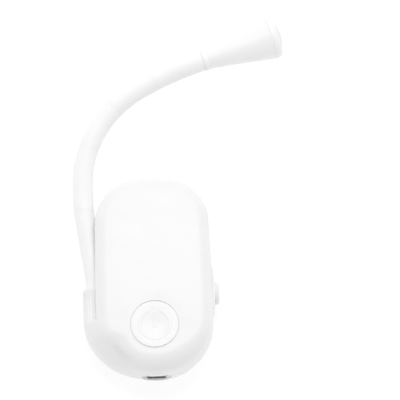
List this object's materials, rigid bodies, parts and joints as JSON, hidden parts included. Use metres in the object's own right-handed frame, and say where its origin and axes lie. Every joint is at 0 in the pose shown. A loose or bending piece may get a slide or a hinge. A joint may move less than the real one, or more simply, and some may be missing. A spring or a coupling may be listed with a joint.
{
  "type": "clip-on reading lamp",
  "caption": "Rechargeable clip-on reading lamp: egg-shaped body with a power button, sprung rear jaw, bendable gooseneck and a conical head with a domed lens",
  "frame": {"origin": "centre of the lamp body's outline on the flat back face of the clip's jaw", "axes": "+Z out of the front face with the button, +Y towards the top end of the body, +X to the right seen from the front; the lamp lies on its back"},
  "size_m": [0.0927, 0.1618, 0.028],
  "materials": {
    "shell_white": "fine satin moulded ABS",
    "button_white": "satin moulded ABS",
    "collar_white": "satin moulded plastic with fine ribs",
    "head_white": "satin moulded ABS",
    "neck_silicone": "matte white silicone",
    "pad_silicone": "soft matte silicone",
    "switch_black": "matte",
    "component_black": "matte epoxy",
    "connector_plastic": "nylon",
    "board_green": "solder mask",
    "board_aluminium": "white solder mask",
    "sink_aluminium": "turned",
    "connector_steel": "plated",
    "screw_steel": "zinc plated",
    "pin_steel": "ground",
    "spring_steel": "spring wire",
    "core_steel": "wound wire",
    "ferrule_brass": "turned",
    "reflector_chrome": "vacuum metallised",
    "lens_frosted": "frosted diffuser",
    "led_yellow": "phosphor",
    "battery_foil": "laminate pouch",
    "foam_black": "closed-cell foam",
    "lead_red": "insulated wire",
    "lead_pair": "insulated wire"
  },
  "bodies": {
    "housing": {"front_housing": "shell_white", "rear_housing": "shell_white", "tact_switch": "switch_black", "circuit_board": "board_green", "board_components": "component_black", "usb_c_receptacle": "connector_steel", "battery_cell": "battery_foil", "battery_foam": "foam_black", "battery_leads": "lead_red", "lead_connector": "connector_plastic", "housing_screws": "screw_steel", "board_screws": "screw_steel", "hinge_pin": "pin_steel", "hinge_cap": "shell_white", "torsion_spring": "spring_steel", "housing_pad": "pad_silicone", "neck_collar": "collar_white", "neck_ferrule": "ferrule_brass", "neck_sleeve_0": "neck_silicone", "neck_core_0": "core_steel", "neck_leads_0": "lead_pair"},
    "jaw": {"rear_jaw": "shell_white", "jaw_pad": "pad_silicone"},
    "button": {"power_button": "button_white", "switch_plunger": "switch_black"},
    "neck_1": {"neck_sleeve_1": "neck_silicone", "neck_core_1": "core_steel", "neck_leads_1": "lead_pair"},
    "neck_2": {"neck_sleeve_2": "neck_silicone", "neck_core_2": "core_steel", "neck_leads_2": "lead_pair"},
    "neck_3": {"neck_sleeve_3": "neck_silicone", "neck_core_3": "core_steel", "neck_leads_3": "lead_pair"},
    "neck_4": {"neck_sleeve_4": "neck_silicone", "neck_core_4": "core_steel", "neck_leads_4": "lead_pair"},
    "head": {"neck_sleeve_5": "neck_silicone", "neck_core_5": "core_steel", "neck_leads_5": "lead_pair", "head_shell": "head_white", "head_bezel": "head_white", "head_lens": "lens_frosted", "led_board": "board_aluminium", "led_chip": "led_yellow", "heat_sink": "sink_aluminium", "reflector": "reflector_chrome", "head_ferrule": "ferrule_brass"}
  },
  "joints": [
    {"name": "jaw_hinge", "type": "hinge", "parent": "housing", "child": "jaw", "pos_m": [0, -0.0065, 0.0125], "axis": [1, 0, 0], "range_deg": [0, 14], "stiffness_Nm_per_rad": 0.25, "springref_deg": -34.38},
    {"name": "button_press", "type": "slide", "parent": "housing", "child": "button", "axis": [0, 0, -1], "range_m": [0, 0.0007], "stiffness_N_per_m": 2000},
    {"name": "neck_bend_1", "type": "hinge", "parent": "housing", "child": "neck_1", "pos_m": [-0.02655, 0.01388, 0.013], "axis": [0, 0, 1], "range_deg": [0, 30]},
    {"name": "neck_bend_2", "type": "hinge", "parent": "neck_1", "child": "neck_2", "pos_m": [-0.02897, 0.04968, 0.013], "axis": [0.9928, -0.1196, 0], "range_deg": [-30, 30]},
    {"name": "neck_bend_3", "type": "hinge", "parent": "neck_2", "child": "neck_3", "pos_m": [-0.0217, 0.07026, 0.013], "axis": [0, 0, 1], "range_deg": [-30, 30]},
    {"name": "neck_bend_4", "type": "hinge", "parent": "neck_3", "child": "neck_4", "pos_m": [-0.00636, 0.08578, 0.013], "axis": [0.5409, -0.8411, 0], "range_deg": [-30, 30]},
    {"name": "neck_bend_5", "type": "hinge", "parent": "neck_4", "child": "head", "pos_m": [0.01144, 0.09486, 0.013], "axis": [0, 0, 1], "range_deg": [-30, 30]}
  ]
}
